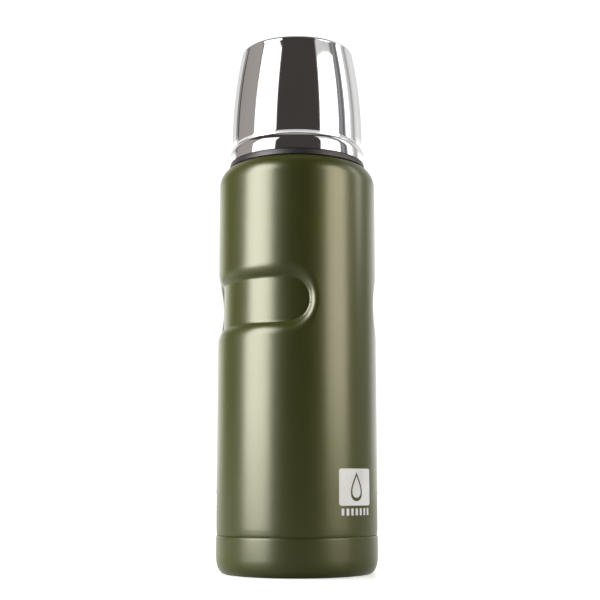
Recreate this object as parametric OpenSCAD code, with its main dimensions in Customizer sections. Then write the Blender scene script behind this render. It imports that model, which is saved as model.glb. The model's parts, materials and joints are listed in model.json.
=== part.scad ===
// Vacuum flask with a screw-on drinking cup and a push-button pouring stopper.
// Millimetres, +Z up, origin at the centre of the foot ring, the plain front faces -Y.
// The two grip recesses are centred on -X and +X.

/* [Body] */
// Outer diameter of the painted body
body_d = 72; // [71:0.5:75]
// Height of the whole flask with its cup on
flask_h = 240; // [230:1:260]
// Thickness of the outer steel sheet
wall = 0.6; // [0.5:0.05:0.6]
// Height of the seam between the body and its base
seam_z = 16.5; // [15:0.5:18]

/* [Grip recesses] */
// Height of a recess's flat floor
grip_floor_h = 20; // [16:0.5:21]
// How deep a recess is pressed in
grip_depth = 2.6; // [1.5:0.1:2.6]
// Half of the angle that a recess's floor spans
grip_half_angle = 56.3; // [45:0.1:58]
// Height of the middle of the recesses
grip_z = 117.7; // [100:0.5:125]

/* [Neck and threads] */
// Outer radius of the steel neck
neck_r = 25.9; // [25.5:0.1:25.9]
// Rise of the cup's thread in one turn
cup_pitch = 4.5; // [4:0.1:5]
// Rise of the stopper's thread in one turn
stopper_pitch = 6; // [5:0.1:6.5]

/* [Stopper] */
// Radius of the stopper's head
head_r = 24.6; // [24:0.1:24.8]
// Radius of the push button
button_r = 12.1; // [11.5:0.1:12.1]
// Number of grip flutes round the stopper's head
flutes = 30; // [20:1:36]

/* [Hidden] */
$fn = 128;
fine = 10;                         // steps in a round stretch of an outline
body_r = body_d / 2;

// Heights that follow the top of the flask
shoulder_z = flask_h - 56.8;       // flat top of the painted shoulder
lip_z = shoulder_z + 16.8;         // rim of the mouth
rim_z = shoulder_z + 2.3;          // top of the dark ring, under the steel cup
shoulder_r = 7.5;

// Base
lap_h = 3.5;                       // how far the body reaches down inside its base
lap_r = body_r - wall - 0.05;
foot_w = 3.7;                      // the base's corner, across and up
foot_h = 7.5;
foot_in = 29.8;                    // inner radius of the foot ring

// Recesses: a floor, a rounded wall and the rim where it meets the body
grip_wall_w = 6;
grip_floor_r = body_r - grip_depth;
grip_end_r = grip_floor_h / 2;
grip_axis_angle = grip_half_angle - grip_end_r / body_r * 180 / PI;

// Inner vessel
liner_t = 0.5;
liner_r = body_r - 4.4;
bore_r = 23.2;                     // inside of the neck
liner_base_z = 14;                 // where the bottom dish is welded on
liner_top_z = shoulder_z - 17.2;   // start of the inner shoulder
seat_z = shoulder_z - 4.9;         // bead that the main gasket sits on

// Cup
cup_t = 0.6;
cup_r = 30.3;
cup_arc_r = 212;                   // the cup's side is a long arc
cup_arc_z = shoulder_z + 13.8;
cup_corner_r = 1.3;
liner_gap = 1.2;                   // from the cup's outside to its liner
cup_liner_t = 1.3;
cup_bore_r = cup_r - liner_gap - cup_liner_t;

// Stopper heights
floor_z = lip_z - 17.8;            // underside of the stopper's floor
head_z = lip_z + 1.2;              // underside of the head's flange
cap_z = lip_z + 13;                // joint of the head and its top cap
spider_z = lip_z - 9.5;            // underside of the mechanism's three-armed foot
spider_t = 2.5;
stem_r = 1.9;

paint = [0.27, 0.30, 0.13];
steel = [0.78, 0.78, 0.78];
dark_plastic = [0.16, 0.16, 0.17];
silicone = [0.80, 0.80, 0.78];

// Points on a round stretch of an outline, from angle a to angle b
function arc(x, z, r, a, b, n = fine) =
    [for (i = [0:n]) let (t = a + (b - a) * i / n) [x + r * cos(t), z + r * sin(t)]];

// The same on a quarter of an ellipse
function oval(x, z, rx, rz, a, b, n = fine) =
    [for (i = [0:n]) let (t = a + (b - a) * i / n) [x + rx * cos(t), z + rz * sin(t)]];

// A helical ridge that stands h out of a wall of radius r, or into its bore where side is -1
module thread(r, h, w, pitch, turns, z, side = 1, steps = 48, root = 0.3) {
    n = round(steps * turns);
    lead_in = 7;
    points = [for (i = [0:n])
        let (a = 360 * i / steps, mid = z + pitch * i / steps,
             rise = h * max(0.1, min(1, i / lead_in, (n - i) / lead_in)))
        for (p = [[r - side * root, -w / 2], [r + side * rise, -w / 4],
                  [r + side * rise, w / 4], [r - side * root, w / 2]])
            [p[0] * cos(a), p[0] * sin(a), mid + p[1]]];
    sides = [for (i = [0:n - 1], k = [0:3])
        let (a = 4 * i + k, b = 4 * i + (k + 1) % 4) [a, a + 4, b + 4, b]];
    end = 4 * n;
    faces = concat(sides, [[0, 1, 2, 3], [end + 3, end + 2, end + 1, end]]);
    polyhedron(points, side < 0 ? faces : [for (f = faces) [for (k = [len(f) - 1:-1:0]) f[k]]]);
}

// The space that a recess takes out of the body, grown inwards by a sheet's thickness
module recess(grow = 0) {
    floor_r = grip_floor_r - grow;
    half = grip_end_r + grow * 0.6;
    depth = grip_depth + grow;
    bend_r = (grip_wall_w * grip_wall_w + depth * depth) / (2 * depth);
    bend = 2 * atan(depth / grip_wall_w);
    top = body_r + 4;
    deep = floor_r - 8;
    // the wall, as [distance from the recess's middle line, radius], a little past the floor
    side = [for (i = [0:5]) let (t = 1.2 * bend * (1 - i / 5))
        [half + grip_wall_w - bend_r * sin(t), body_r - bend_r * (1 - cos(t))]];
    span = concat([[half - 4, deep]], side, [[half + grip_wall_w, top]]);
    ring = concat([for (p = span) [p[1], p[0]]], [for (k = [len(span) - 1:-1:0]) [span[k][1], -span[k][0]]]);
    translate([0, 0, grip_z])
        difference() {
            union() {
                rotate([0, 0, -grip_axis_angle])
                    rotate_extrude(angle = 2 * grip_axis_angle)
                        polygon(ring);
                // a rounded end: half a turn of the same outline about the recess's own radius
                for (a = [-1, 1])
                    rotate([0, 0, a * grip_axis_angle])
                        rotate([0, 90, 0])
                            rotate([0, 0, a > 0 ? 0 : 180])
                                rotate_extrude(angle = 180)
                                    polygon(concat([[0, deep]], span, [[0, top]]));
            }
            cylinder(h = 60, r = floor_r, center = true);
        }
}

module recesses(grow = 0) {
    for (a = [0, 180])
        rotate([0, 0, a])
            recess(grow);
}

module outer_shell() {
    outside = concat(
        [[lap_r, seam_z - lap_h], [lap_r, seam_z + 0.3], [body_r - 0.4, seam_z + 0.3],
         [body_r - 0.15, seam_z + 1.5], [body_r, seam_z + 3.5]],
        arc(body_r - shoulder_r, shoulder_z - shoulder_r, shoulder_r, 0, 90));
    hollow = concat(
        [[lap_r - wall, seam_z - lap_h - 1], [lap_r - wall, seam_z + 1], [body_r - wall, seam_z + 3.5]],
        arc(body_r - shoulder_r, shoulder_z - shoulder_r, shoulder_r - wall, 0, 90));
    color(paint)
        difference() {
            rotate_extrude()
                polygon(concat([[0, seam_z - lap_h]], outside, [[0, shoulder_z]]));
            recesses();
            difference() {
                rotate_extrude()
                    polygon(concat([[0, seam_z - lap_h - 1]], hollow, [[0, shoulder_z - wall]]));
                recesses(wall);
            }
            cylinder(h = flask_h, r = neck_r + 0.05);
        }
}

module outer_base() {
    corner_x = body_r - foot_w;
    color(paint)
        rotate_extrude()
            polygon(concat(
                [[body_r - wall, seam_z], [body_r - 0.2, seam_z], [body_r, seam_z - 0.2]],
                oval(corner_x, foot_h, foot_w, foot_h, 0, -90),
                [[foot_in, 0], [foot_in - 0.6, 0.6], [foot_in - 0.8, 1.8],
                 [6, 1.8], [5, 2.6], [1.2, 2.6], [1.2, 3.2], [5.3, 3.2], [6.3, 2.4],
                 [foot_in - 0.15, 2.4], [foot_in + 0.05, 0.6]],
                oval(corner_x, foot_h, foot_w - wall, foot_h - wall, -90, 0)));
}

module base_disc() {
    color(steel)
        rotate_extrude()
            polygon([[0, 1.1], [21.5, 1.1], [22.3, 0.9], [28.2, 0.9], [28.7, 1.2], [28.7, 1.8],
                     [27.6, 1.8], [27.4, 1.5], [22.5, 1.5], [21.7, 1.7], [0, 1.7]]);
}

module vacuum_seal() {
    color("dimgray")
        rotate_extrude()
            polygon([[0, 1.9], [2.5, 1.95], [3.9, 2.2], [4.3, 2.6], [1.2, 2.6], [1.2, 3.2], [0, 3.2]]);
}

module getter_cup() {
    color(steel)
        translate([14, 0, 2.4])
            difference() {
                cylinder(h = 1.8, r = 4.6);
                translate([0, 0, 0.3])
                    cylinder(h = 2, r = 4.3);
            }
}

module getter_pellet() {
    color("darkgray")
        translate([14, 0, 2.7])
            cylinder(h = 1.4, r = 4.2);
}

module inner_vessel() {
    bend_r = 7;
    bend_x = liner_r - bend_r;
    bend_z = liner_top_z;
    neck_out = bore_r + liner_t;
    outside = concat(
        [[liner_r, liner_base_z]],
        arc(bend_x, bend_z, bend_r, 0, 80),
        [[20.9, seat_z - 2.1], [20.9, seat_z - 0.3], [neck_out, seat_z + 0.9], [neck_out, lip_z - 0.6]]);
    inside = concat(
        [[bore_r, lip_z - 0.6], [bore_r, seat_z + 1.2], [20.4, seat_z], [20.4, seat_z - 2.4]],
        arc(bend_x, bend_z, bend_r - liner_t, 80, 0),
        [[liner_r - liner_t, liner_base_z]]);
    color(steel) {
        rotate_extrude()
            polygon(concat(outside, inside));
        thread(bore_r, 0.8, 2.2, stopper_pitch, 1.4, lip_z - 13, side = -1);
    }
}

module inner_bottom() {
    bend_r = 5;
    color(steel)
        rotate_extrude()
            polygon(concat(
                [[liner_r, liner_base_z]],
                arc(liner_r - bend_r, 12, bend_r, 0, -90),
                [[12, 7.5], [0, 7.8], [0, 8.3], [12, 8]],
                arc(liner_r - bend_r, 12, bend_r - liner_t, -90, 0),
                [[liner_r - liner_t, liner_base_z]]));
}

module radiation_foil() {
    color("peru")
        translate([0, 0, liner_base_z + 1])
            difference() {
                cylinder(h = liner_top_z - liner_base_z - 4, r = liner_r + 0.3);
                translate([0, 0, -1])
                    cylinder(h = flask_h, r = liner_r + 0.15);
            }
}

module neck_sleeve() {
    color(steel) {
        rotate_extrude()
            polygon(concat(
                [[neck_r - wall, shoulder_z - wall], [neck_r, shoulder_z - wall]],
                arc(neck_r - 0.8, lip_z - 0.8, 0.8, 0, 90),
                [[bore_r + 0.2, lip_z], [bore_r, lip_z - 0.2], [bore_r, lip_z - 0.6], [neck_r - wall, lip_z - 0.6]]));
        thread(neck_r, 0.85, 2.2, cup_pitch, 1.5, shoulder_z + 5.3);
    }
}

module cup_shell() {
    sweep_top = asin((flask_h - cup_corner_r - cup_arc_z) / cup_arc_r);
    arc_x = cup_r - cup_arc_r;
    side_top = arc_x + cup_arc_r * cos(sweep_top);
    lower = [[31, rim_z + 0.15], [31.2, rim_z + 1.2], [31.25, rim_z + 2.9], [31.1, rim_z + 4.6],
             [30.7, rim_z + 6.2], [30.2, rim_z + 7], [29.9, rim_z + 7.5], [29.95, rim_z + 7.9],
             [30.15, rim_z + 8.4], [cup_r, rim_z + 9.2]];
    outside = concat(
        lower,
        arc(arc_x, cup_arc_z, cup_arc_r, 0, sweep_top),
        arc(side_top - cup_corner_r, flask_h - cup_corner_r, cup_corner_r, 10, 90));
    inside = concat(
        [[0, flask_h - cup_t]],
        arc(side_top - cup_corner_r, flask_h - cup_corner_r, cup_corner_r - cup_t, 90, 0),
        arc(arc_x, cup_arc_z, cup_arc_r - cup_t, sweep_top, 0),
        [for (k = [len(lower) - 1:-1:0]) [lower[k][0] - cup_t, lower[k][1]]]);
    color([0.86, 0.86, 0.87])
        rotate_extrude()
            polygon(concat(outside, [[0, flask_h]], inside));
}

module cup_liner() {
    top_z = flask_h - cup_t - 0.8;
    bend_r = 4;
    sweep_top = asin((top_z - bend_r - cup_arc_z) / cup_arc_r);
    arc_x = cup_r - cup_arc_r;
    out_r = cup_arc_r - liner_gap;
    in_r = out_r - cup_liner_t;
    top_x = arc_x + out_r * cos(sweep_top) - bend_r;
    color(dark_plastic) {
        rotate_extrude()
            polygon(concat(
                [[cup_bore_r, rim_z + 0.1], [28.9, rim_z + 0.1], [28.9, rim_z + 1.7], [30.3, rim_z + 1.7],
                 [30.3, rim_z + 4.4], [29.1, rim_z + 6.4], [29.1, cup_arc_z]],
                arc(arc_x, cup_arc_z, out_r, 0, sweep_top),
                arc(top_x, top_z - bend_r, bend_r, 8, 90),
                [[0, top_z], [0, top_z - cup_liner_t]],
                arc(top_x, top_z - bend_r, bend_r - cup_liner_t, 90, 8),
                arc(arc_x, cup_arc_z, in_r, sweep_top, 0)));
        thread(cup_bore_r, 0.85, 2.2, cup_pitch, 1.5, shoulder_z + 5, side = -1);
    }
}

module rim_ring() {
    color(dark_plastic)
        rotate_extrude()
            polygon([[28, rim_z - 2], [30.4, rim_z - 2.15], [31.7, rim_z - 2.65], [31.75, rim_z - 2.4],
                     [31.25, rim_z - 0.1], [30.2, rim_z - 0.1], [30.2, rim_z + 1.5], [29.1, rim_z + 1.5],
                     [29.1, rim_z - 0.1], [28, rim_z - 0.1]]);
}

module stopper_body() {
    window = [14, 12, 3.6];
    color(dark_plastic) {
        difference() {
            rotate_extrude()
                polygon([[17.4, floor_z - 4.8], [19.6, floor_z - 4.8], [19.8, floor_z - 4], [19, floor_z - 3.7],
                         [19, floor_z - 0.4], [21.3, floor_z - 0.4], [21.3, head_z], [head_r, head_z],
                         [head_r, cap_z], [22.9, cap_z], [22.9, head_z + 2], [19.8, head_z + 2],
                         [19.8, floor_z + 1.8], [8.2, floor_z + 1.8], [8.2, floor_z], [17.4, floor_z]]);
            for (a = [0:360 / flutes:359])
                rotate([0, 0, a])
                    translate([head_r + 0.9, 0, head_z + 2])
                        cylinder(h = 20, r = 1.5, $fn = 32);
            // pouring window at the front, air inlet at the back
            translate([-window[0] / 2, -head_r - 4, head_z + 3])
                cube(window);
            translate([-window[0] / 4, head_r - 6, head_z + 3])
                cube([window[0] / 2, window[1], window[2]]);
        }
        thread(21.3, 0.9, 2.4, stopper_pitch, 1.5, lip_z - 12.5);
    }
}

module stopper_gasket() {
    color(silicone)
        rotate_extrude()
            polygon([[19.1, floor_z - 3.4], [20.3, floor_z - 3.8], [21.9, floor_z - 3.1], [21.9, floor_z - 1.2],
                     [21.3, floor_z - 0.6], [19.1, floor_z - 0.6]]);
}

module lip_gasket() {
    color(silicone)
        rotate_extrude()
            polygon([[21.4, lip_z + 0.15], [24, lip_z + 0.15], [24.4, lip_z + 0.5], [24.4, head_z], [21.4, head_z]]);
}

module top_cap() {
    color(dark_plastic)
        rotate_extrude()
            polygon(concat(
                [[button_r + 0.3, cap_z - 3.5], [button_r + 1.7, cap_z - 3.5], [button_r + 1.7, cap_z + 1.6],
                 [21.4, cap_z + 1.6], [21.4, cap_z - 3.5], [22.8, cap_z - 3.5], [22.8, cap_z], [head_r, cap_z]],
                arc(head_r - 1.8, cap_z + 2.2, 1.8, 0, 90),
                [[button_r + 0.9, cap_z + 4], [button_r + 0.3, cap_z + 3.4]]));
}

// Sleeve round the button's mechanism, on a spider that leaves the pouring channel open
module valve_cage() {
    bore = 8.9;
    color("gainsboro")
        translate([0, 0, spider_z]) {
            difference() {
                union() {
                    cylinder(h = 20.5, r = 10.2);
                    for (a = [30, 150, 270])
                        rotate([0, 0, a])
                            translate([9.5, -1.25, 0])
                                cube([10.1, 2.5, spider_t]);
                }
                translate([0, 0, spider_t])
                    cylinder(h = 20, r = bore);
                translate([0, 0, -1])
                    cylinder(h = 5, r = stem_r + 0.4);
            }
            for (a = [45:90:315])
                // the lugs of the rotor slide up between these ribs, or turn and catch below them
                rotate([0, 0, a])
                    translate([7.7, -1, spider_t + 13])
                        cube([1.6, 2, 4.5]);
        }
}

module button() {
    skirt_z = lip_z + 10.5;
    color([0.30, 0.31, 0.32])
        rotate_extrude()
            polygon(concat(
                [[stem_r, lip_z + 8.5], [4.2, lip_z + 8.5], [4.2, lip_z + 17], [button_r - 1.5, lip_z + 17],
                 [button_r - 1.5, skirt_z], [button_r, skirt_z]],
                arc(button_r - 1.2, lip_z + 17.8, 1.2, 0, 80, 5),
                [[6, lip_z + 19.8], [0, lip_z + 20.1], [0, lip_z + 15], [stem_r, lip_z + 15]]));
}

module latch_rotor() {
    color("white")
        translate([0, 0, lip_z + 5.2])
            difference() {
                union() {
                    cylinder(h = 3.1, r = 7.2);
                    for (a = [0:90:270])
                        rotate([0, 0, a])
                            translate([6, -1.2, 0])
                                cube([2.6, 2.4, 3.1]);
                }
                translate([0, 0, -1])
                    cylinder(h = 6, r = stem_r + 0.3);
            }
}

// Closed and ground compression spring, wound as a helix with flatter end turns
module button_spring() {
    wire_r = 0.4;
    mean_r = 4.6;
    turns = 6;
    per_turn = 20;
    sides = 6;
    low = spider_z + spider_t + wire_r + 0.05;
    high = lip_z + 5.2 - wire_r - 0.05;
    n = turns * per_turn;
    // the end turns lie nearly flat
    function height(t) = t < 1 ? low + 0.9 * t
        : t > turns - 1 ? high - 0.9 * (turns - t)
        : low + 0.9 + (high - low - 1.8) * (t - 1) / (turns - 2);
    points = [for (i = [0:n], k = [0:sides - 1])
        let (a = 360 * i / per_turn, b = 360 * k / sides, r = mean_r + wire_r * cos(b))
        [r * cos(a), r * sin(a), height(i / per_turn) + wire_r * sin(b)]];
    tube = [for (i = [0:n - 1], k = [0:sides - 1])
        let (a = sides * i + k, b = sides * i + (k + 1) % sides) [a, b, b + sides, a + sides]];
    color(steel)
        polyhedron(points, concat(
            [[for (k = [0:sides - 1]) sides - 1 - k]], tube, [[for (k = [0:sides - 1]) sides * n + k]]));
}

module valve_stem() {
    color("gainsboro")
        difference() {
            translate([0, 0, floor_z - 6])
                cylinder(h = lip_z + 15 - floor_z + 6, r = stem_r);
            // groove that the clip snaps into
            translate([0, 0, floor_z - 5.9])
                difference() {
                    cylinder(h = 0.7, r = 3);
                    translate([0, 0, -1])
                        cylinder(h = 3, r = 1.4);
                }
        }
}

module valve_plate() {
    color("gainsboro")
        rotate_extrude()
            polygon([[stem_r, floor_z - 5.2], [10, floor_z - 5.2], [10.6, floor_z - 4.8], [10.6, floor_z - 3.4],
                     [3.4, floor_z - 3.4], [3.4, floor_z - 1.6], [stem_r, floor_z - 1.6]]);
}

module valve_seal() {
    color(silicone)
        rotate_extrude()
            polygon([[3.4, floor_z - 3.4], [10.8, floor_z - 3.4], [11.2, floor_z - 1.7], [10.6, floor_z - 0.1],
                     [9, floor_z - 0.1], [8.9, floor_z - 1.6], [3.4, floor_z - 1.6]]);
}

module stem_clip() {
    color(steel)
        translate([0, 0, floor_z - 5.85])
            difference() {
                cylinder(h = 0.6, r = 3.6);
                translate([0, 0, -1])
                    cylinder(h = 3, r = 1.45);
                // the slot that lets it snap on sideways
                translate([0, -1.2, -1])
                    cube([6, 2.4, 3]);
            }
}

outer_shell();
outer_base();
base_disc();
vacuum_seal();
getter_cup();
getter_pellet();
inner_vessel();
inner_bottom();
radiation_foil();
neck_sleeve();
cup_shell();
cup_liner();
rim_ring();
stopper_body();
stopper_gasket();
lip_gasket();
top_cap();
valve_cage();
button();
latch_rotor();
button_spring();
valve_stem();
valve_plate();
valve_seal();
stem_clip();
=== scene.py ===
# %% [markdown]
# # A vacuum flask, from sheet steel to studio
# The flask stands on a frame of exact solids that already fit and move: body, cup, stopper and valve.
# This lesson gives it its looks. The four pieces that are seen all day, the painted body, its base, the
# dark ring and the polished cup, are modelled afresh, because pressed and polished metal needs softer
# edges than a plain solid has. Inside, only the return spring is rounded off. Every other piece keeps its
# exact solid and gets a finish.

# %% Load the frame
import math

import bpy
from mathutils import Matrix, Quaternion, Vector
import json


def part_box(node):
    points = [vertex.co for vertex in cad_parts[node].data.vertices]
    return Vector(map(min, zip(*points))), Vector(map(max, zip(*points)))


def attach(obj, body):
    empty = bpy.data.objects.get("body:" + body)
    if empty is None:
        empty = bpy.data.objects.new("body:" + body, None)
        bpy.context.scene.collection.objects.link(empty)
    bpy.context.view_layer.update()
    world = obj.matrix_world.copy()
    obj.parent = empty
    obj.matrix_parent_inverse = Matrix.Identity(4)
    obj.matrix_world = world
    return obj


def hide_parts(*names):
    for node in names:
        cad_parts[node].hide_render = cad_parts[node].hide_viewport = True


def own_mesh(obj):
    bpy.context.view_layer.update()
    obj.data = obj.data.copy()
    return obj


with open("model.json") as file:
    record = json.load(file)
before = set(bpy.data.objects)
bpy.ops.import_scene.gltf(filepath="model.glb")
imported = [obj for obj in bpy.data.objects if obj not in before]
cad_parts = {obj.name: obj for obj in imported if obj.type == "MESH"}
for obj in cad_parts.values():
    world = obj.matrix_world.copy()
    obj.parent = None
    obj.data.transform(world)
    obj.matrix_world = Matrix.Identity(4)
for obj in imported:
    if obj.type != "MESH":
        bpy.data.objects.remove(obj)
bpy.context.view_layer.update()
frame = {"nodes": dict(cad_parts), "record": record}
MM = 0.001

# %% [markdown]
# The main sizes come from the frame. A node's box gives its lowest and highest corner, so the body's
# radius, the seam, the shoulder and the cup's height are read off and never typed in. Outlines are then
# drawn in millimetres from those heights, which keeps them easy to read.

# %% Sizes read off the frame, in millimetres
body_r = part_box("outer_base")[1].x / MM
seam_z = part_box("outer_base")[1].z / MM
shoulder_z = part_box("outer_shell")[1].z / MM
lap_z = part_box("outer_shell")[0].z / MM
ring_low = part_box("rim_ring")[0].z / MM
cup_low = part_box("cup_shell")[0].z / MM
cup_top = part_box("cup_shell")[1].z / MM
sheet = 0.6    # thickness of the steel
around = 400   # steps in one full spin
print(f"body radius {body_r:.1f}, seam {seam_z:.1f}, shoulder {shoulder_z:.1f}")
print(f"cup from {cup_low:.1f} to {cup_top:.1f}")

# %% [markdown]
# Round things are drawn as half an outline and spun about the upright axis, as a potter or a lathe makes
# them. The outline could be typed point by point, but real sheet metal has no sharp corners, so each
# corner is given with a radius and a helper swaps it for an arc.


# %% Rounded outlines
def rounded(corners, step=math.radians(9)):
    """Outline points from (x, z, radius) corners, with an arc at each corner that has a radius."""
    points = []
    for i, (x, z, r) in enumerate(corners):
        here = Vector((x, z))
        if r == 0 or i in (0, len(corners) - 1):
            points.append(here)
            continue
        back = (Vector(corners[i - 1][:2]) - here).normalized()
        on = (Vector(corners[i + 1][:2]) - here).normalized()
        half = back.angle(on) / 2
        centre = here + (back + on).normalized() * r / math.sin(half)
        start = here + back * r / math.tan(half) - centre
        stop = here + on * r / math.tan(half) - centre
        sweep = math.pi - 2 * half
        steps = max(2, round(sweep / step))
        for k in range(steps + 1):
            a, b = (1 - k / steps) * sweep, k / steps * sweep
            points.append(centre + (start * math.sin(a) + stop * math.sin(b)) / math.sin(sweep))
    return points


def arc(x, z, r, start, stop, steps):
    """Points on a circle about (x, z), from one angle to another, in degrees."""
    turn = [math.radians(start + (stop - start) * k / steps) for k in range(steps + 1)]
    return [Vector((x + r * math.cos(t), z + r * math.sin(t))) for t in turn]


# %% [markdown]
# An outline is drawn the way it is done by hand: one vertex, then E to extrude it to the next point, and
# so on. Spin turns it into a solid. The seam and the poles are merged afterwards, and only then are the
# normals made to face outwards.


# %% Turning on the lathe
def only(*objects):
    """Deselect everything, then pick these objects."""
    bpy.ops.object.select_all(action="DESELECT")
    for thing in objects:
        thing.select_set(True)
    bpy.context.view_layer.objects.active = objects[0]


def draw(name, points):
    """One edge after another through the points, in the XZ plane; leaves it in edit mode."""
    bpy.ops.object.select_all(action="DESELECT")
    bpy.ops.mesh.primitive_plane_add(size=MM, location=(points[0].x * MM, 0, points[0].y * MM))
    line = bpy.context.active_object
    line.name = name
    line.data.name = name
    bpy.ops.object.transform_apply(location=True, rotation=True, scale=True)
    bpy.ops.object.mode_set(mode="EDIT")
    bpy.ops.mesh.select_all(action="SELECT")
    bpy.ops.mesh.merge(type="CENTER")
    for here, there in zip(points, points[1:]):
        step = (there - here) * MM
        bpy.ops.mesh.extrude_region_move(TRANSFORM_OT_translate={"value": (step.x, 0, step.y)})
    return line


def turned(name, points, closed=True, steps=around, smooth=35):
    """The outline spun once round the upright axis."""
    piece = draw(name, points + points[:1] if closed else points)
    bpy.ops.mesh.select_all(action="SELECT")
    bpy.ops.mesh.spin(steps=steps, angle=2 * math.pi, center=(0, 0, 0), axis=(0, 0, 1))
    bpy.ops.mesh.select_all(action="SELECT")
    bpy.ops.mesh.remove_doubles(threshold=0.002 * MM)
    bpy.ops.mesh.normals_make_consistent(inside=False)
    bpy.ops.object.mode_set(mode="OBJECT")
    bpy.ops.object.shade_smooth_by_angle(angle=math.radians(smooth))
    print(f"{name}: {len(points)} outline points, {len(piece.data.polygons)} faces")
    return piece


def apply(piece, kind, **settings):
    """Adds a modifier with these settings and applies it."""
    only(piece)
    bpy.ops.object.modifier_add(type=kind)
    modifier = piece.modifiers[-1]
    for key, value in settings.items():
        setattr(modifier, key, value)
    bpy.ops.object.modifier_apply(modifier=modifier.name)


def stands_for(piece, node, body):
    """The new piece takes a CAD node's place and rides on its body."""
    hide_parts(node)
    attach(piece, body)


# %% [markdown]
# Finishes come next, so that each piece can be given one as it is made. Every finish is a small node
# tree that starts from the object's own coordinates. Noise gives the unevenness that tells the eye what a
# surface is: the orange peel of powder coat, the lathe lines of steel, the fine grain of moulded plastic.


# %% A blank finish and the patterns it can use
def blank(name):
    """A new material, its node tree and its main shader."""
    finish = bpy.data.materials.new(name)
    finish.use_nodes = True
    tree = finish.node_tree
    return finish, tree, tree.nodes["Principled BSDF"]


def noise(tree, scale, stretch=(1, 1, 1), detail=3.0):
    """Noise on object coordinates. stretch above 1 squeezes the pattern along that axis."""
    place = tree.nodes.new("ShaderNodeTexCoord")
    mapping = tree.nodes.new("ShaderNodeMapping")
    mapping.inputs["Scale"].default_value = stretch
    texture = tree.nodes.new("ShaderNodeTexNoise")
    texture.inputs["Scale"].default_value = scale
    texture.inputs["Detail"].default_value = detail
    tree.links.new(place.outputs["Object"], mapping.inputs["Vector"])
    tree.links.new(mapping.outputs["Vector"], texture.inputs["Vector"])
    return texture.outputs["Fac"]


def spread(tree, factor, low, high):
    """A number that follows a 0 to 1 pattern between two values."""
    span = tree.nodes.new("ShaderNodeMapRange")
    span.inputs["From Min"].default_value = 0.3
    span.inputs["From Max"].default_value = 0.7
    span.inputs["To Min"].default_value = low
    span.inputs["To Max"].default_value = high
    tree.links.new(factor, span.inputs["Value"])
    return span.outputs["Result"]


def tint(tree, factor, one, other):
    """A colour that follows a pattern between two colours."""
    ramp = tree.nodes.new("ShaderNodeValToRGB")
    ramp.color_ramp.elements[0].position = 0.3
    ramp.color_ramp.elements[1].position = 0.7
    ramp.color_ramp.elements[0].color = (*one, 1)
    ramp.color_ramp.elements[1].color = (*other, 1)
    tree.links.new(factor, ramp.inputs["Fac"])
    return ramp.outputs["Color"]


def relief(tree, shader, height, depth):
    """Fine bumps, depth millimetres high."""
    bump = tree.nodes.new("ShaderNodeBump")
    bump.inputs["Strength"].default_value = 1.0
    bump.inputs["Distance"].default_value = depth * MM
    tree.links.new(height, bump.inputs["Height"])
    tree.links.new(bump.outputs["Normal"], shader.inputs["Normal"])


def shade(colour, share):
    """The same colour, lighter or darker."""
    return tuple(c * share for c in colour)


# %% [markdown]
# Powder coat is a baked plastic skin. It is satin, not glossy, and if you look along it you see a very
# low orange peel. A clear coat on top would make it look wet, so there is only the one rough layer, with
# its roughness drifting a little where hands and boxes have touched it.


# %% Painted and bare metal finishes
def powder_coat(name, colour):
    finish, tree, shader = blank(name)
    patch = noise(tree, 35)
    tree.links.new(tint(tree, patch, shade(colour, 0.95), shade(colour, 1.05)), shader.inputs["Base Color"])
    tree.links.new(spread(tree, noise(tree, 60), 0.282, 0.298), shader.inputs["Roughness"])
    shader.inputs["Specular IOR Level"].default_value = 0.3
    shader.inputs["Specular Tint"].default_value = (1.0, 1.0, 0.86, 1)
    relief(tree, shader, noise(tree, 700, detail=2), 0.004)
    return finish


def polished_steel(name):
    """Mirror polish, with the faint rings that a spinning buffing wheel leaves."""
    finish, tree, shader = blank(name)
    shader.inputs["Metallic"].default_value = 1.0
    rings = noise(tree, 1.0, stretch=(40, 40, 2500))
    shader.inputs["Specular Tint"].default_value = (0.68, 0.68, 0.68, 1)
    colour = tint(tree, noise(tree, 25), (0.80, 0.79, 0.785), (0.86, 0.855, 0.85))
    tree.links.new(colour, shader.inputs["Base Color"])
    tree.links.new(spread(tree, rings, 0.05, 0.07), shader.inputs["Roughness"])
    relief(tree, shader, noise(tree, 55, detail=0), 0.012)
    return finish


def brushed_steel(name, colour=(0.66, 0.65, 0.63), rough=0.28):
    """Steel as it leaves the lathe or the press: fine lines run round it."""
    finish, tree, shader = blank(name)
    shader.inputs["Metallic"].default_value = 1.0
    lines = noise(tree, 1.0, stretch=(8, 8, 4000), detail=2)
    tree.links.new(tint(tree, lines, shade(colour, 0.95), colour), shader.inputs["Base Color"])
    tree.links.new(spread(tree, lines, rough - 0.05, rough + 0.05), shader.inputs["Roughness"])
    relief(tree, shader, lines, 0.001)
    return finish


def foil(name):
    """Thin rolled foil, bright, with soft wrinkles."""
    finish, tree, shader = blank(name)
    shader.inputs["Metallic"].default_value = 1.0
    crinkle = noise(tree, 120, detail=4)
    tree.links.new(tint(tree, crinkle, (0.78, 0.78, 0.79), (0.92, 0.92, 0.93)), shader.inputs["Base Color"])
    tree.links.new(spread(tree, crinkle, 0.12, 0.3), shader.inputs["Roughness"])
    relief(tree, shader, crinkle, 0.15)
    return finish


# %% [markdown]
# Moulded plastic carries the texture of its mould, a spark-eroded grain about four tenths of a millimetre
# wide. Silicone is softer to look at: light goes a little way in, so it gets some subsurface scattering.


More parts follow.
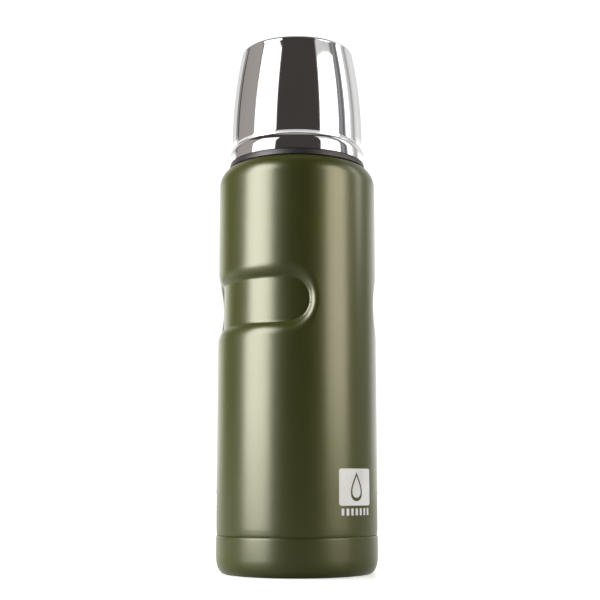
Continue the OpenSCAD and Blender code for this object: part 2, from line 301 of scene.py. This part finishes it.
# %% Plastic, silicone and powder finishes
def moulded(name, colour, rough=0.42, grain=0.012, gloss=0.5):
    finish, tree, shader = blank(name)
    shader.inputs["Specular IOR Level"].default_value = gloss
    speck = noise(tree, 2600, detail=2)
    drift = tint(tree, noise(tree, 90), shade(colour, 0.92), shade(colour, 1.08))
    tree.links.new(drift, shader.inputs["Base Color"])
    tree.links.new(spread(tree, speck, rough - 0.06, rough + 0.06), shader.inputs["Roughness"])
    relief(tree, shader, speck, grain)
    return finish


def silicone(name, colour=(0.72, 0.72, 0.69)):
    finish, tree, shader = blank(name)
    tree.links.new(tint(tree, noise(tree, 120), shade(colour, 0.93), colour), shader.inputs["Base Color"])
    tree.links.new(spread(tree, noise(tree, 400), 0.42, 0.58), shader.inputs["Roughness"])
    shader.inputs["Subsurface Weight"].default_value = 0.25
    shader.inputs["Subsurface Scale"].default_value = 1.5 * MM
    return finish


def sintered(name, colour):
    """Pressed metal powder: dark, dull and rough to the touch."""
    finish, tree, shader = blank(name)
    grit = noise(tree, 1500, detail=5)
    shader.inputs["Metallic"].default_value = 0.6
    tree.links.new(tint(tree, grit, shade(colour, 0.6), shade(colour, 1.4)), shader.inputs["Base Color"])
    tree.links.new(spread(tree, grit, 0.6, 0.85), shader.inputs["Roughness"])
    relief(tree, shader, grit, 0.08)
    return finish


# %% [markdown]
# Now each finish is mixed once and given to the frame's solids by the name of their material slot. Several
# solids can share a slot, as the bare steel ones and the silicone ones do, and a piece modelled later takes
# its finish from the same shelf.

# %% Mix the finishes
olive = (0.058, 0.064, 0.003)
finishes = {
    "olive_paint": powder_coat("olive powder coat", olive),
    "polished_steel": polished_steel("polished steel"),
    "bare_steel": brushed_steel("bare steel"),
    "spring_steel": brushed_steel("spring wire", (0.55, 0.55, 0.56), 0.2),
    "braze": brushed_steel("braze", (0.55, 0.36, 0.20), 0.35),
    "foil": foil("bright foil"),
    "getter_alloy": sintered("getter powder", (0.10, 0.10, 0.105)),
    "dark_plastic": moulded("black plastic", (0.022, 0.022, 0.024)),
    "ring_plastic": moulded("dark grey ring", (0.022, 0.018, 0.022), 0.42, 0.006, gloss=0.2),
    "button_plastic": moulded("grey button", (0.085, 0.088, 0.092), 0.3, 0.006),
    "white_plastic": moulded("natural acetal", (0.74, 0.74, 0.71), 0.38, 0.006),
    "silicone": silicone("clear grey silicone"),
}
slot_of = {part["node"]: part["material_slot"] for part in frame["record"]["subparts"]}
for node, solid in frame["nodes"].items():
    for holder in solid.material_slots:
        holder.material = finishes[slot_of[node]]
print("finishes:", ", ".join(sorted(finishes)))

# %% [markdown]
# ## The painted body
# The body is a tube of sheet steel. Its foot is necked in to slip inside the base, its top is rolled over
# into a shoulder. It could be a cylinder with loop cuts, but an outline and a spin place each ring of
# vertices where it is needed: close together where the grips will be pressed, far apart elsewhere.

# %% Turn the body
skin_r = body_r - 0.04              # the body's skin is a hair inside the base's
shoulder_w, shoulder_h = 7.0, 9.3   # half axes of the shoulder's elliptical quarter
grip_z = (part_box("outer_shell")[0].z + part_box("outer_shell")[1].z) / 2 / MM + 19.6
grip_reach = 17.5                   # half the height in which the rings lie close together
grip_rows = 66

foot = rounded([
    (body_r - 0.65, lap_z, 0), (body_r - 0.65, seam_z + 0.2, 0.15), (skin_r - 0.3, seam_z + 0.2, 0.12),
    (skin_r - 0.1, seam_z + 1.2, 2.0), (skin_r, seam_z + 3.2, 6.0), (skin_r, seam_z + 9, 0)])
plain_low = [Vector((skin_r, z)) for z in (40, 60, 80)]
dense = [Vector((skin_r, grip_z + grip_reach * (2 * k / grip_rows - 1))) for k in range(grip_rows + 1)]
plain_high = [Vector((skin_r, z)) for z in (145, 160)]
shoulder = [Vector((skin_r + shoulder_w * (math.cos(t) - 1), shoulder_z + shoulder_h * (math.sin(t) - 1)))
            for t in (math.radians(90 * k / 20) for k in range(21))]
collar = [Vector((27.2, shoulder_z)), Vector((26.1, shoulder_z))]
outline = foot + plain_low + dense + plain_high + shoulder + collar
body = turned("body_shell", outline, closed=False)

# %% [markdown]
# The grips are two wide hollows on opposite sides, pressed in with a round-ended tool. Each has a flat
# floor that keeps the curve of the body, and a wall that starts tangent to the body and steepens until it
# meets the floor in a crease. A Boolean would cut a hard edge. Here a Displace modifier pushes the wall
# in, and a vertex group says how far each vertex goes, so the sheet stays one smooth skin.

# %% Press in the grips
grip_depth = 2.6
floor_half = 10.0    # half the height of the floor, and the radius of its round ends
side_wall = 6.0      # how far the wall runs up and down from the floor's edge
end_wall = 3.6       # and how far it runs round the body past the ends
crease = 0.5         # rounding where the wall meets the floor
end_angle = math.radians(56.3) - floor_half / body_r   # the floor's round ends start here


def pressed(co):
    """How deep the tool goes at this point of the wall, from 0 on the body to 1 on the grip's floor."""
    along = max(0.0, math.atan2(abs(co.y), abs(co.x)) - end_angle) * body_r
    up = abs(co.z / MM - grip_z)
    away = math.hypot(along, up)
    if away == 0:
        return 1.0
    cosine, sine = along / away, up / away
    wide, tall = floor_half + end_wall, floor_half + side_wall
    rim = 1 / math.hypot(cosine / wide, sine / tall)
    wall = rim - floor_half
    inward = rim - away
    if inward <= 0:
        return 0.0
    bend = (wall ** 2 + grip_depth ** 2) / (2 * grip_depth)
    deep = bend - math.sqrt(bend ** 2 - min(inward, 0.999 * bend) ** 2)
    blend = max(crease - abs(deep - grip_depth), 0) / crease
    return (min(deep, grip_depth) - blend ** 2 * crease / 4) / grip_depth


grips = body.vertex_groups.new(name="grips")
for vertex in body.data.vertices:
    if abs(vertex.co.z / MM - grip_z) < grip_reach:
        share = pressed(vertex.co)
        if share > 0:
            grips.add([vertex.index], share, "REPLACE")
apply(body, "DISPLACE", strength=-grip_depth * MM, mid_level=0, vertex_group="grips")
apply(body, "SOLIDIFY", thickness=sheet * MM, offset=-1)
only(body)
bpy.ops.object.shade_smooth_by_angle(angle=math.radians(50))
body.data.materials.append(finishes["olive_paint"])
stands_for(body, "outer_shell", "flask")
print("body_shell:", len(body.data.polygons), "faces")

# %% [markdown]
# ## The base
# The base is a shallow cup in the same paint. Its corner is a quarter of an ellipse that rolls under to
# the ring that the flask stands on, and the middle is raised, with a dimple and a small hole for the vacuum
# seal. The top edge has a small round, which is what catches the light as a thin line along the seam.

# %% Turn the base
corner_w, corner_h = 3.7, 7.5   # half axes of the corner's elliptical quarter
foot_in = 29.8                  # inner edge of the ring that the flask stands on


def quarter(inset, start, stop, steps=14):
    """The base's corner, an elliptical quarter, at this distance inside the outer face."""
    turn = [math.radians(start + (stop - start) * k / steps) for k in range(steps + 1)]
    return [Vector((body_r - corner_w + (corner_w - inset) * math.cos(t),
                    corner_h + (corner_h - inset) * math.sin(t))) for t in turn]


outside = rounded([(body_r - sheet, seam_z - 1, 0), (body_r - sheet, seam_z, 0.08), (body_r, seam_z, 0.45),
                   (body_r, seam_z - 1.5, 0)])
under = rounded([(foot_in + 1, 0, 0), (foot_in, 0, 0.5), (foot_in - 0.7, 1.8, 0.4), (6.0, 1.8, 0.5),
                 (5.0, 2.6, 0.5), (1.25, 2.6, 0), (1.25, 3.2, 0), (5.3, 3.2, 0.5), (6.3, 2.4, 0.5),
                 (foot_in - 0.2, 2.4, 0.4), (foot_in + 0.1, 0.6, 0.3), (foot_in + 1, 0.6, 0)])
base = turned("base_cup", outside + quarter(0, 0, -90) + under + quarter(sheet, -90, 0))
base.data.materials.append(finishes["olive_paint"])
stands_for(base, "outer_base", "flask")

# %% [markdown]
# ## The dark ring
# A moulded ring closes the gap between the painted shoulder and the cup. It flares downwards over the
# shoulder, stays three tenths of a millimetre off it, and its edges have the small radius of a moulding.

# %% Turn the ring
ring_top = cup_low - 0.25
ring = turned("rim_band", rounded([
    (29.0, ring_low + 0.65, 0), (30.4, ring_low + 0.5, 0.6), (31.72, ring_low, 0.12),
    (31.74, ring_low + 0.25, 0.12), (31.2, ring_top, 0.25), (30.2, ring_top, 0),
    (30.2, ring_top + 1.6, 0.2), (29.1, ring_top + 1.6, 0.2), (29.1, ring_top, 0), (28.0, ring_top, 0.2),
    (28.0, ring_low + 0.65, 0.2), (29.0, ring_low + 0.65, 0)]))
ring.data.materials.append(finishes["ring_plastic"])
stands_for(ring, "rim_ring", "ring")

# %% [markdown]
# ## The polished cup
# The cup is spun from thin steel over a former. From its mouth it has a swelling band, a narrow groove,
# and then one long, slow curve up to a tight corner and the flat top. A mirror shows every flaw in a
# mesh, so the curve is a true arc with many rings, and the groove's corners are rounded ones.

# %% Turn the cup
cup_r = 30.3                  # radius just above the groove
curve_r = 212.0               # radius of the long curve of the side
curve_z = cup_low + 11.35     # where that curve starts
lip_r = 4.5                   # rounding between the groove and the side
top_round = 1.3               # rounding between the side and the top
lift = math.degrees(math.asin((cup_top - top_round - curve_z) / curve_r))
edge_x = cup_r - curve_r + curve_r * math.cos(math.radians(lift))
band = [Vector((31.1, cup_low)), Vector((31.2, cup_low + 1.2))] + arc(25.4, cup_low + 3.6, 5.8, 0, 38, 14)
groove = [Vector((29.92, cup_low + 7.25))]
lip = arc(cup_r - lip_r, cup_low + 9.15, lip_r, -24, 0, 10) + [Vector((cup_r, curve_z))]
side = arc(cup_r - curve_r, curve_z, curve_r, 0, lift, 36)[1:]
corner = arc(edge_x - top_round, cup_top - top_round, top_round, lift, 90, 12)
top = [Vector((12, cup_top)), Vector((0, cup_top))]
cup = turned("steel_cup", band + groove + lip + side + corner + top, closed=False)
apply(cup, "SOLIDIFY", thickness=sheet * MM, offset=-1)
only(cup)
bpy.ops.object.shade_smooth_by_angle(angle=math.radians(35))
cup.data.materials.append(finishes["polished_steel"])
stands_for(cup, "cup_shell", "cup")

# %% [markdown]
# ## The return spring
# The button stands on a coil spring inside the stopper. It is the one metal piece that changes its shape:
# when the button goes down by four millimetres, the coil closes up by as much. The frame's coil has a
# six-sided wire. A copy of it is merged and subdivided, which rounds the wire.

# %% Round the wire
coil = frame["nodes"]["button_spring"]
spring = bpy.data.objects.new("return_spring", coil.data.copy())
bpy.context.scene.collection.objects.link(spring)
only(spring)
bpy.ops.object.mode_set(mode="EDIT")
bpy.ops.mesh.select_all(action="SELECT")
bpy.ops.mesh.remove_doubles(threshold=0.002 * MM)
bpy.ops.mesh.tris_convert_to_quads(face_threshold=math.radians(60), shape_threshold=math.radians(60))
bpy.ops.mesh.normals_make_consistent(inside=False)
bpy.ops.object.mode_set(mode="OBJECT")
apply(spring, "SUBSURF", levels=1, render_levels=1)
bpy.ops.object.shade_smooth_by_angle(angle=math.radians(50))
stands_for(spring, "button_spring", "stopper")
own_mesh(spring)

# %% [markdown]
# ## The printed mark
# The mark on the front is screen print: a film of pale ink a few hundredths of a millimetre thick. It
# could be painted in the shader, but then it would vanish from the mesh. Here a thin ring of ink is
# turned, and Booleans leave only what lies inside a rounded square, minus the outline of a drop.


# %% Cutters for the mark
badge_x, badge_z = 0.9, 37.5   # middle of the badge


def prism(name, points):
    """An outline filled and pulled straight back, so that it cuts through the front of the body."""
    cutter = draw(name, points + points[:1])
    bpy.ops.mesh.select_all(action="SELECT")
    bpy.ops.mesh.remove_doubles(threshold=0.002 * MM)
    bpy.ops.mesh.edge_face_add()
    bpy.ops.mesh.select_all(action="SELECT")
    bpy.ops.mesh.extrude_region_move(TRANSFORM_OT_translate={"value": (0, 12 * MM, 0)})
    bpy.ops.mesh.select_all(action="SELECT")
    bpy.ops.mesh.normals_make_consistent(inside=False)
    bpy.ops.transform.translate(value=(0, -42 * MM, 0))
    bpy.ops.object.mode_set(mode="OBJECT")
    return cutter


def block(name, x, z, width, height, radius):
    """A rectangle with round corners, as a cutter."""
    w, h = width / 2, height / 2
    turn = [(w, h), (-w, h), (-w, -h), (w, -h)]
    corners = [(x + a, z + b, radius) for a, b in turn]
    return prism(name, rounded([corners[-1], *corners, corners[0]], math.radians(18))[1:-1])


def drop(name, z, size):
    """A drop of water: a circle whose upper half is drawn out to a point."""
    turn = [2 * math.pi * k / 48 for k in range(48)]
    return prism(name, [Vector((badge_x + size * math.sin(t) * math.sin(t / 2) ** 1.5,
                                z + 1.25 * size * math.cos(t))) for t in turn])


def combine(piece, cutter, how):
    """A Boolean with a cutter, which is thrown away afterwards."""
    apply(piece, "BOOLEAN", operation=how, object=cutter, solver="EXACT")
    bpy.data.objects.remove(cutter)


# %% [markdown]
# Two Booleans make the badge: one keeps the rounded square, one takes the drop's outline away. The row of
# bars below it is made from one cutter of seven blocks. Smooth shading would drag false shadows over a
# film this thin, so both prints are shaded flat.

# %% Print the mark
ink_in, ink_out = skin_r + 0.008, skin_r + 0.034   # the two faces of the ink
badge = turned("badge_print", [Vector(p) for p in (
    (ink_in, badge_z - 9), (ink_out, badge_z - 9), (ink_out, badge_z + 9), (ink_in, badge_z + 9))])
combine(badge, block("badge_outline", badge_x, badge_z, 19.2, 15.6, 1.1), "INTERSECT")
drop_line = drop("drop_outside", badge_z + 0.3, 5.0)
combine(drop_line, drop("drop_inside", badge_z + 0.1, 3.7), "DIFFERENCE")
combine(badge, drop_line, "DIFFERENCE")

ticks = turned("tick_print", [Vector(p) for p in (
    (ink_in, badge_z - 13), (ink_out, badge_z - 13), (ink_out, badge_z - 8.2), (ink_in, badge_z - 8.2))])
bars = [block(f"bar_{k}", badge_x - 7.8 + 2.6 * k, badge_z - 10.4, 1.4, 3.0, 0.3) for k in range(7)]
only(*bars)
bpy.ops.object.join()
combine(ticks, bars[0], "INTERSECT")

pale_ink = moulded("pale ink", (0.86, 0.86, 0.83), 0.45, 0.002)
for film in (badge, ticks):
    only(film)
    bpy.ops.object.shade_flat()
    film.data.materials.append(pale_ink)
    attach(film, "flask")
    print(film.name, len(film.data.polygons), "faces")

# %% [markdown]
# ## Studio
# The floor is white paper. White paper also throws a lot of light up on satin paint, which then looks
# grey, so the floor is given two shaders: the paper for rays that come from the camera or from a mirror,
# and a dim grey one for the soft light that bounces between surfaces. Seen by the camera it glows a
# little, more and more with the distance from the flask, so that it melts into the white background and
# still keeps the shadow under the flask.

# %% Floor
bpy.ops.object.select_all(action="DESELECT")
bpy.ops.mesh.primitive_plane_add(size=6, location=(0, 0, 0))
floor = bpy.context.active_object
floor.name = "floor"
paper, paper_tree, paper_shader = blank("white paper")
paper_tree.links.new(tint(paper_tree, noise(paper_tree, 3), (0.80, 0.80, 0.80), (0.84, 0.84, 0.84)),
                     paper_shader.inputs["Base Color"])
paper_shader.inputs["Roughness"].default_value = 0.5
paper_shader.inputs["Emission Color"].default_value = (1, 1, 1, 1)
dim = paper_tree.nodes.new("ShaderNodeBsdfDiffuse")
dim.inputs["Color"].default_value = (0.2, 0.2, 0.2, 1)
ray = paper_tree.nodes.new("ShaderNodeLightPath")
glow = paper_tree.nodes.new("ShaderNodeMapRange")
glow.inputs["To Min"].default_value = 0.15
spot = paper_tree.nodes.new("ShaderNodeTexCoord")
away = paper_tree.nodes.new("ShaderNodeVectorMath")
away.operation = "LENGTH"
paper_tree.links.new(spot.outputs["Object"], away.inputs[0])
wash = paper_tree.nodes.new("ShaderNodeMapRange")
wash.inputs["From Min"].default_value = 0.07
wash.inputs["From Max"].default_value = 0.5
wash.inputs["To Min"].default_value = 0.45
wash.inputs["To Max"].default_value = 1.0
paper_tree.links.new(away.outputs["Value"], wash.inputs["Value"])
paper_tree.links.new(wash.outputs["Result"], glow.inputs["To Max"])
paper_tree.links.new(ray.outputs["Is Camera Ray"], glow.inputs["Value"])
paper_tree.links.new(glow.outputs["Result"], paper_shader.inputs["Emission Strength"])
either = paper_tree.nodes.new("ShaderNodeMixShader")
paper_tree.links.new(ray.outputs["Is Diffuse Ray"], either.inputs["Fac"])
paper_tree.links.new(paper_shader.outputs["BSDF"], either.inputs[1])
paper_tree.links.new(dim.outputs["BSDF"], either.inputs[2])
paper_tree.links.new(either.outputs["Shader"], paper_tree.nodes["Material Output"].inputs["Surface"])
floor.data.materials.append(paper)
print("floor:", floor.name, "with", len(paper_tree.nodes), "shader nodes")

# %% [markdown]
# ## Camera
# A long lens keeps the sides of a tall flask nearly upright. The camera stands a little above the foot
# and looks up, so that the cup's top is not seen and its rim is a gentle arch. Its place is given in body
# radii: with one lens, a flask of any size then fills the frame alike.

# %% Camera
view_turn = math.radians(-43.5)        # round the flask, so that one grip faces left
camera_away = 14.32 * body_r * MM
camera_up = 1.072 * body_r * MM
look_up = math.radians(9.23)
level = math.radians(0.15)             # a small turn that centres the flask in the frame
toward_camera = Vector((math.sin(view_turn), -math.cos(view_turn), 0))
to_the_right = Vector((math.cos(view_turn), math.sin(view_turn), 0))
bpy.ops.object.camera_add(location=toward_camera * camera_away + Vector((0, 0, camera_up)),
                          rotation=(math.pi / 2 + look_up, 0, view_turn - level))
camera = bpy.context.active_object
camera.data.lens = 68.1
camera.data.sensor_width = 36
camera.data.clip_start = 0.01
bpy.context.scene.camera = camera
print(f"camera {camera_away:.3f} m away and {camera_up:.3f} m up")

# %% [markdown]
# ## Lights
# The flask is round and half of it is a mirror, so what is seen on it is the room. Satin paint shows a
# soft box as a broad glow and needs a very bright one, while the mirror shows it sharply and would burn
# out and get jagged edges. Light linking solves this: the bright boxes leave the cup out, and dimmer ones
# in the same places, with a grey card beside them, are seen by the cup alone. Two fills at the sides
# light the paint's own colour and make no reflection.


# %% Lights
def soft_box(name, side, away, low, high, width, power, colour=(1, 1, 1), lean=0, gloss=True, paint=True):
    """A tall soft box, side degrees to the right of the camera as seen from the flask."""
    turn = math.radians(side)
    spot = (toward_camera * math.cos(turn) + to_the_right * math.sin(turn)) * away
    spot.z = (low + high) / 2
    face = Vector((-spot.x, -spot.y, 0)).to_track_quat("-Z", "Y")
    tilt = Quaternion((0, 0, 1), math.radians(lean))
    bpy.ops.object.light_add(type="AREA", location=spot, rotation=(face @ tilt).to_euler())
    lamp = bpy.context.active_object
    lamp.name = name
    lamp.data.shape = "RECTANGLE"
    lamp.data.size = width
    lamp.data.size_y = high - low
    lamp.data.energy = power * width * (high - low) * math.pi
    lamp.data.color = colour
    lamp.visible_glossy = gloss
    lamp.visible_diffuse = paint
    return lamp


def reaches(lamp, state, *pieces):
    """Keeps a lamp to these pieces (INCLUDE), or off them (EXCLUDE)."""
    group = bpy.data.collections.new(lamp.name + " reach")
    lamp.light_linking.receiver_collection = group
    for piece in pieces:
        group.objects.link(piece)
    for entry in group.collection_objects:
        entry.light_linking.link_state = state


for box in (
        soft_box("left box", -56.8, 1.0, 0.0, 1.20, 0.72, 28.0, (1.0, 0.98, 0.99), lean=-5, paint=False),
        soft_box("right box", 59, 1.0, 0.08, 1.0, 0.58, 14.0, (1.0, 0.92, 0.84), lean=-3, paint=False),
        soft_box("edge strip", 101, 1.0, 0.35, 1.1, 0.15, 9.0, (1.0, 0.97, 0.90), paint=False)):
    reaches(box, "EXCLUDE", cup)
for box in (
        soft_box("left mirror box", -58, 1.0, 0.0, 1.20, 0.80, 1.6, lean=-5, paint=False),
        soft_box("grey card", -102.5, 1.0, 0.0, 1.2, 0.82, 0.34, (1.0, 0.93, 0.90), paint=False),
        soft_box("right mirror box", 59, 1.0, 0.0, 1.0, 0.68, 1.5, lean=-3, paint=False),
        soft_box("mirror edge strip", 101, 1.0, 0.35, 1.1, 0.20, 1.4, paint=False)):
    reaches(box, "INCLUDE", cup)
soft_box("left fill", -98, 1.0, 0.0, 1.3, 1.0, 6.5, gloss=False)
soft_box("right fill", 85, 1.0, 0.0, 1.3, 0.8, 2.5, gloss=False)

# %% [markdown]
# ## Room
# The room itself is the world. A radial gradient, turned so that its middle is behind the camera, paints
# it from above: angles are counted from the camera, to the left below zero and to the right above. It is
# white behind the flask, dark where the camera stands, with narrow grey and dark strips at the sides that
# draw the edges of the mirror. Then the height takes over: pale near the floor, dark above and a grey
# ceiling. Behind the flask there is a bright sweep low down, which gives the paint its light edges, and
# a greyer wall higher up, which lets the cup's top be told from the background.

# %% Room
world = bpy.data.worlds.new("studio")
bpy.context.scene.world = world
world.use_nodes = True
room = world.node_tree
room.nodes.clear()
direction = room.nodes.new("ShaderNodeTexCoord")
turn_room = room.nodes.new("ShaderNodeMapping")
turn_room.inputs["Rotation"].default_value = (0, 0, math.pi / 2 - view_turn)
radial = room.nodes.new("ShaderNodeTexGradient")
radial.gradient_type = "RADIAL"
walls = room.nodes.new("ShaderNodeValToRGB")
room.links.new(direction.outputs["Generated"], turn_room.inputs["Vector"])
room.links.new(turn_room.outputs["Vector"], radial.inputs["Vector"])
room.links.new(radial.outputs["Fac"], walls.inputs["Fac"])
dark = (0.055, 0.048, 0.044)
white, rim_grey = (1.1, 1.1, 1.1), (0.38, 0.35, 0.335)
stops = [
    (-180, white), (-141, white), (-138, rim_grey), (-131, rim_grey), (-129, (0.03, 0.03, 0.03)),
    (-127, (0.03, 0.03, 0.03)), (-125, dark), (40, dark),
    (43, (0.72, 0.72, 0.71)), (74, (0.65, 0.65, 0.64)), (78, (0.16, 0.16, 0.17)), (86, (0.34, 0.34, 0.36)),
    (90, (0.11, 0.11, 0.12)), (94, (0.28, 0.28, 0.29)), (96, (1.1, 1.1, 1.1)), (106, (1.0, 1.0, 1.0)),
    (121, (0.40, 0.39, 0.39)), (126, (0.80, 0.79, 0.79)), (133, (1.0, 1.0, 1.0)), (142, white),
    (180, white)]
bands = walls.color_ramp.elements
while len(bands) > 1:
    bands.remove(bands[-1])
bands[0].position = 0
bands[0].color = (*stops[0][1], 1)
for angle, colour in stops[1:]:
    bands.new(0.5 + angle / 360).color = (*colour, 1)
print(len(stops), "stops round the room")

# %% [markdown]
# Each of these layers is mixed over what is there already. Its share comes from a reading of the
# direction: how high it points, and how far round to the back.


# %% Layers over the walls
def between(reading, start, stop):
    """0 up to one value of a reading and 1 from another value on."""
    span = room.nodes.new("ShaderNodeMapRange")
    span.inputs["From Min"].default_value = start
    span.inputs["From Max"].default_value = stop
    room.links.new(reading, span.inputs["Value"])
    return span.outputs["Result"]


def sums(operation, value, other):
    """One sum on two readings, or on a reading and a number."""
    node = room.nodes.new("ShaderNodeMath")
    node.operation = operation
    room.links.new(value, node.inputs[0])
    if isinstance(other, float):
        node.inputs[1].default_value = other
    else:
        room.links.new(other, node.inputs[1])
    return node.outputs["Value"]


def over(under, colour, share):
    """This colour laid over another."""
    mix = room.nodes.new("ShaderNodeMix")
    mix.data_type = "RGBA"
    mix.inputs["B"].default_value = (*colour, 1)
    room.links.new(share, mix.inputs["Factor"])
    room.links.new(under, mix.inputs["A"])
    return mix.outputs["Result"]


split = room.nodes.new("ShaderNodeSeparateXYZ")
room.links.new(direction.outputs["Generated"], split.inputs["Vector"])
height = split.outputs["Z"]
colour_now = walls.outputs["Color"]
layers = [(0.09, 0.03, (0.80, 0.80, 0.79)), (0.80, 0.86, dark), (0.93, 0.96, (0.42, 0.41, 0.40))]
for start, stop, colour in layers:
    colour_now = over(colour_now, colour, between(height, start, stop))

from_front = sums("ABSOLUTE", sums("SUBTRACT", radial.outputs["Fac"], 0.5), 0.0)
behind = between(from_front, 0.345, 0.385)
for start, stop, colour in ((0.30, 0.25, (2.1, 2.1, 2.0)), (0.46, 0.60, (0.76, 0.76, 0.76))):
    colour_now = over(colour_now, colour, sums("MULTIPLY", behind, between(height, start, stop)))

# %% [markdown]
# Rays that come straight from the camera skip the whole room and see plain white, so that the background
# is white from every side.

# %% White for the camera
seen = room.nodes.new("ShaderNodeBackground")
room.links.new(colour_now, seen.inputs["Color"])
backdrop = room.nodes.new("ShaderNodeBackground")
backdrop.inputs["Color"].default_value = (1, 1, 1, 1)
backdrop.inputs["Strength"].default_value = 1.1
path = room.nodes.new("ShaderNodeLightPath")
choose = room.nodes.new("ShaderNodeMixShader")
out = room.nodes.new("ShaderNodeOutputWorld")
room.links.new(path.outputs["Is Camera Ray"], choose.inputs["Fac"])
room.links.new(seen.outputs["Background"], choose.inputs[1])
room.links.new(backdrop.outputs["Background"], choose.inputs[2])
room.links.new(choose.outputs["Shader"], out.inputs["Surface"])
bpy.context.scene.view_settings.view_transform = "Standard"
print("studio ready")

# %% [markdown]
# ## The end
# The last cell imports json once more.

# %% Import json
import json
